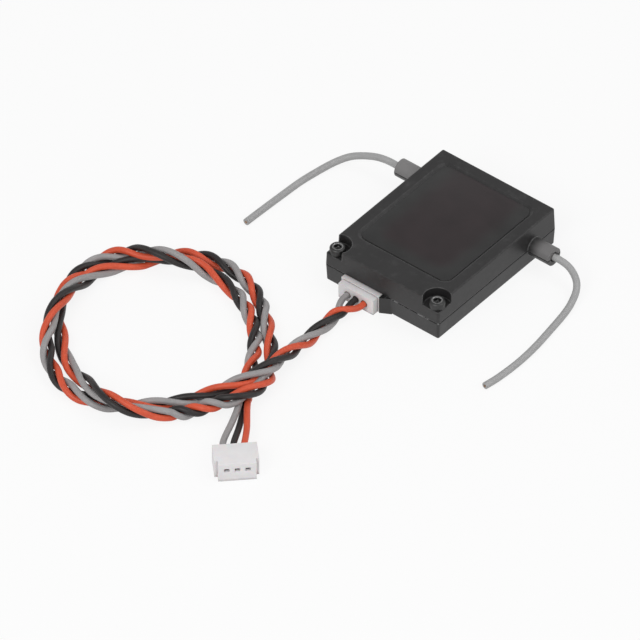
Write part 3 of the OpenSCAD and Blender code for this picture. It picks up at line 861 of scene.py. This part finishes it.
# %% Apply the finishes
NODE_FINISHES = {
    "case_plastic": ["lower_case", "cover"],
    "board_green": ["circuit_board"],
    "white_nylon": ["connector_header"],
    "gold_plate": ["header_pins"],
    "aged_contact": ["receiver_contacts", "far_contacts"],
    "chip_black": ["radio_chip", "controller_chip", "voltage_regulator"],
    "tinned_metal": ["chip_legs", "crystal_can"],
    "lamp_white": ["status_lamp"],
    "ceramic_tan": ["ceramic_capacitors"],
    "resistor_black": ["chip_resistors"],
    "coil_dark": ["antenna_coils"],
    "grey_jacket": ["antenna_roots"],
    "copper_core": ["antenna_cores"],
}
for finish, nodes in NODE_FINISHES.items():
    for node in nodes:
        for holder in bpy.data.objects[node].material_slots:
            holder.material = finishes[finish]

for piece in antennas.values():
    piece.data.materials.append(finishes["antenna_jacket"])
new_pieces = [*cores.values(), *wires.values(), receiver_plug, far_plug, label, *screws]
for piece in new_pieces:
    piece.data.materials.append(finishes[piece["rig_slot"]])
print(len(new_pieces), "new pieces,", sum(map(len, NODE_FINISHES.values())), "nodes kept")

# %% [markdown]
# ## Table, light and background
#
# The object lies on a white table. For the camera the table is mostly its own white, so it
# runs into the white background, and a small share of plain diffuse keeps the object's
# soft shadow. Everything that lights the object is plain: an even sky and three large
# soft lamps. Shiny surfaces see a white table and a sky that darkens towards its top,
# which is why the sides of the dark case look lighter than its top. To the right of the
# case they see a slightly darker table, which keeps its long side from shining.

# %% Table
TABLE_SIZE = 1.5
TABLE_SHOWN_WHITE = 0.86
TABLE_DROP = 0.02 * MM
TABLE_GLOSS_AT = (6 * MM, 14 * MM)

table_mesh = bmesh.new()
bmesh.ops.create_grid(table_mesh, x_segments=1, y_segments=1, size=TABLE_SIZE)
bmesh.ops.translate(table_mesh, verts=table_mesh.verts, vec=(0, 0, -TABLE_DROP))
table_data = bpy.data.meshes.new("table")
table_mesh.to_mesh(table_data)
table_mesh.free()
table = bpy.data.objects.new("table", table_data)
bpy.context.scene.collection.objects.link(table)

table_recipe = Recipe("table_white", Roughness=0.9, Specular_IOR_Level=0.0)
table_recipe.shader.inputs["Base Color"].default_value = (0.82, 0.82, 0.82, 1)
seen_by_camera = table_recipe.node("LightPath", output="Is Camera Ray")
seen_in_gloss = table_recipe.node("LightPath", output="Is Glossy Ray")
seen_through = table_recipe.node("LightPath", output="Is Transmission Ray")
table_x = axis_of(table_recipe, place(table_recipe), "X")
beside_case = band(table_recipe, table_x, *TABLE_GLOSS_AT, 1.0, 0.78)
white = table_recipe.node("Emission", inputs={"Color": (1, 1, 1, 1), "Strength": 1.0})
shown = table_recipe.node("MixShader", inputs={
    0: seen_by_camera * TABLE_SHOWN_WHITE + seen_in_gloss * beside_case + seen_through,
    1: Layer(table_recipe, table_recipe.shader.outputs["BSDF"]),
    2: white,
})
table_output = table_recipe.tree.nodes["Material Output"]
table_recipe.tree.links.new(shown.socket, table_output.inputs["Surface"])
table_data.materials.append(table_recipe.material)

# %% Sky
SKY_LIGHT = 0.5
SKY_TOP_IN_GLOSS = 0.5

world = bpy.data.worlds.new("studio")
bpy.context.scene.world = world
world.use_nodes = True
sky = Tree(world.node_tree)
ray = {kind: sky.node("LightPath", output=f"Is {kind} Ray")
       for kind in ("Camera", "Glossy", "Transmission")}
direction = sky.node("TexCoord", output="Generated")
height = axis_of(sky, direction, "Z")
gloss_level = band(sky, height, 0.05, 0.7, 1.0, SKY_TOP_IN_GLOSS)
shown_white = (ray["Camera"] + ray["Transmission"]) * (1 - SKY_LIGHT)
level = SKY_LIGHT + shown_white + ray["Glossy"] * (gloss_level - SKY_LIGHT)
sky_output = next(n for n in sky.tree.nodes if n.type == "OUTPUT_WORLD")
backdrop = sky.node("Background", inputs={"Color": (1, 1, 1, 1), "Strength": level})
sky.tree.links.new(backdrop.socket, sky_output.inputs["Surface"])

# %% Lamps
LAMPS = {
    # name: azimuth and elevation in degrees, distance and size in metres, watts
    "key": (5, 42, 0.6, 0.3, 1.4),
    "fill": (100, 40, 0.6, 0.35, 0.6),
    "back": (150, 60, 0.6, 0.3, 0.5),
}
for name, (azimuth, elevation, distance, size, watts) in LAMPS.items():
    turn, rise = math.radians(azimuth), math.radians(elevation)
    back = Vector((
        math.sin(turn) * math.cos(rise),
        -math.cos(turn) * math.cos(rise),
        math.sin(rise),
    ))
    lamp_data = bpy.data.lights.new(name, "AREA")
    lamp_data.size, lamp_data.energy = size, watts
    lamp = bpy.data.objects.new(name, lamp_data)
    lamp.location = VIEW_CENTRE + back * distance
    lamp.rotation_mode = "QUATERNION"
    lamp.rotation_quaternion = (-back).to_track_quat("-Z", "Y")
    lamp.visible_camera = False
    bpy.context.scene.collection.objects.link(lamp)
bpy.context.scene.view_settings.view_transform = "Standard"
print(len(LAMPS), "lamps and a sky of", SKY_LIGHT)

# %% [markdown]
# ## Closing the lesson
#
# The view layer is brought up to date once more at the end.

# %% Update the view layer
bpy.context.view_layer.update()
